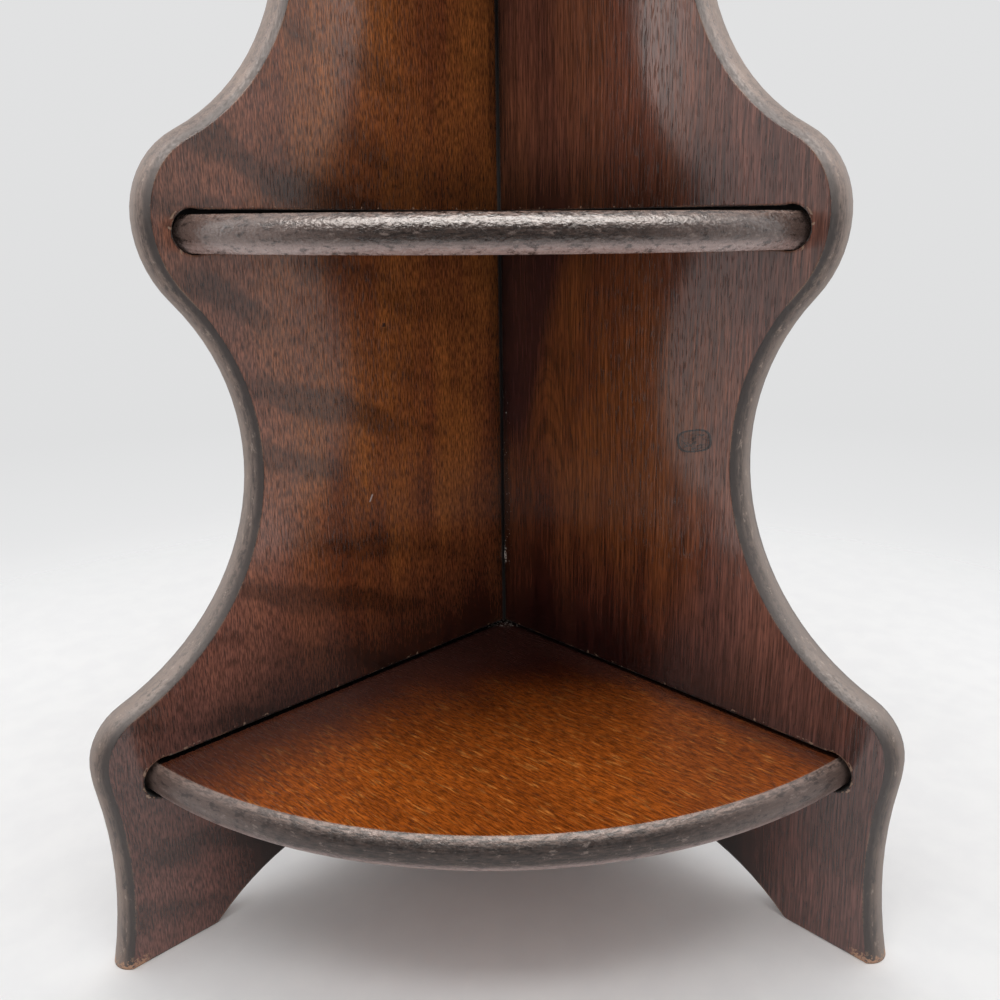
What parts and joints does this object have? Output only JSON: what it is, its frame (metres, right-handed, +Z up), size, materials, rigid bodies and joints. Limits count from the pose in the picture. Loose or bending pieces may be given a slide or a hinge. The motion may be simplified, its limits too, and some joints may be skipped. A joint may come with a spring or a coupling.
{
  "type": "corner shelf",
  "caption": "Small free-standing wooden corner shelf: scalloped side panels meet at a right angle and carry rounded quarter shelves in stopped grooves.",
  "frame": {"origin": "middle of the rectangle that the part covers on the floor, at floor level", "axes": "+Z up; the right panel runs along +X from the inner corner and the left panel along -Y, so the open front faces +X -Y"},
  "size_m": [0.193, 0.193, 0.5],
  "materials": {
    "panel_wood": "dark walnut-brown stain, worn satin lacquer",
    "shelf_wood": "dark walnut-brown stain, worn satin lacquer",
    "screw_steel": "dull plated steel"
  },
  "bodies": {
    "root": {"left_panel": "panel_wood", "right_panel": "panel_wood", "lower_shelf": "shelf_wood", "middle_shelf": "shelf_wood", "upper_shelf": "shelf_wood", "screw_lower_left_back": "screw_steel", "screw_lower_left_front": "screw_steel", "screw_lower_right_back": "screw_steel", "screw_lower_right_front": "screw_steel", "screw_middle_left_back": "screw_steel", "screw_middle_left_front": "screw_steel", "screw_middle_right_back": "screw_steel", "screw_middle_right_front": "screw_steel", "screw_upper_left_back": "screw_steel", "screw_upper_left_front": "screw_steel", "screw_upper_right_back": "screw_steel", "screw_upper_right_front": "screw_steel", "screw_corner_1": "screw_steel", "screw_corner_2": "screw_steel", "screw_corner_3": "screw_steel", "screw_corner_4": "screw_steel", "screw_corner_5": "screw_steel", "screw_corner_6": "screw_steel"}
  },
  "joints": []
}
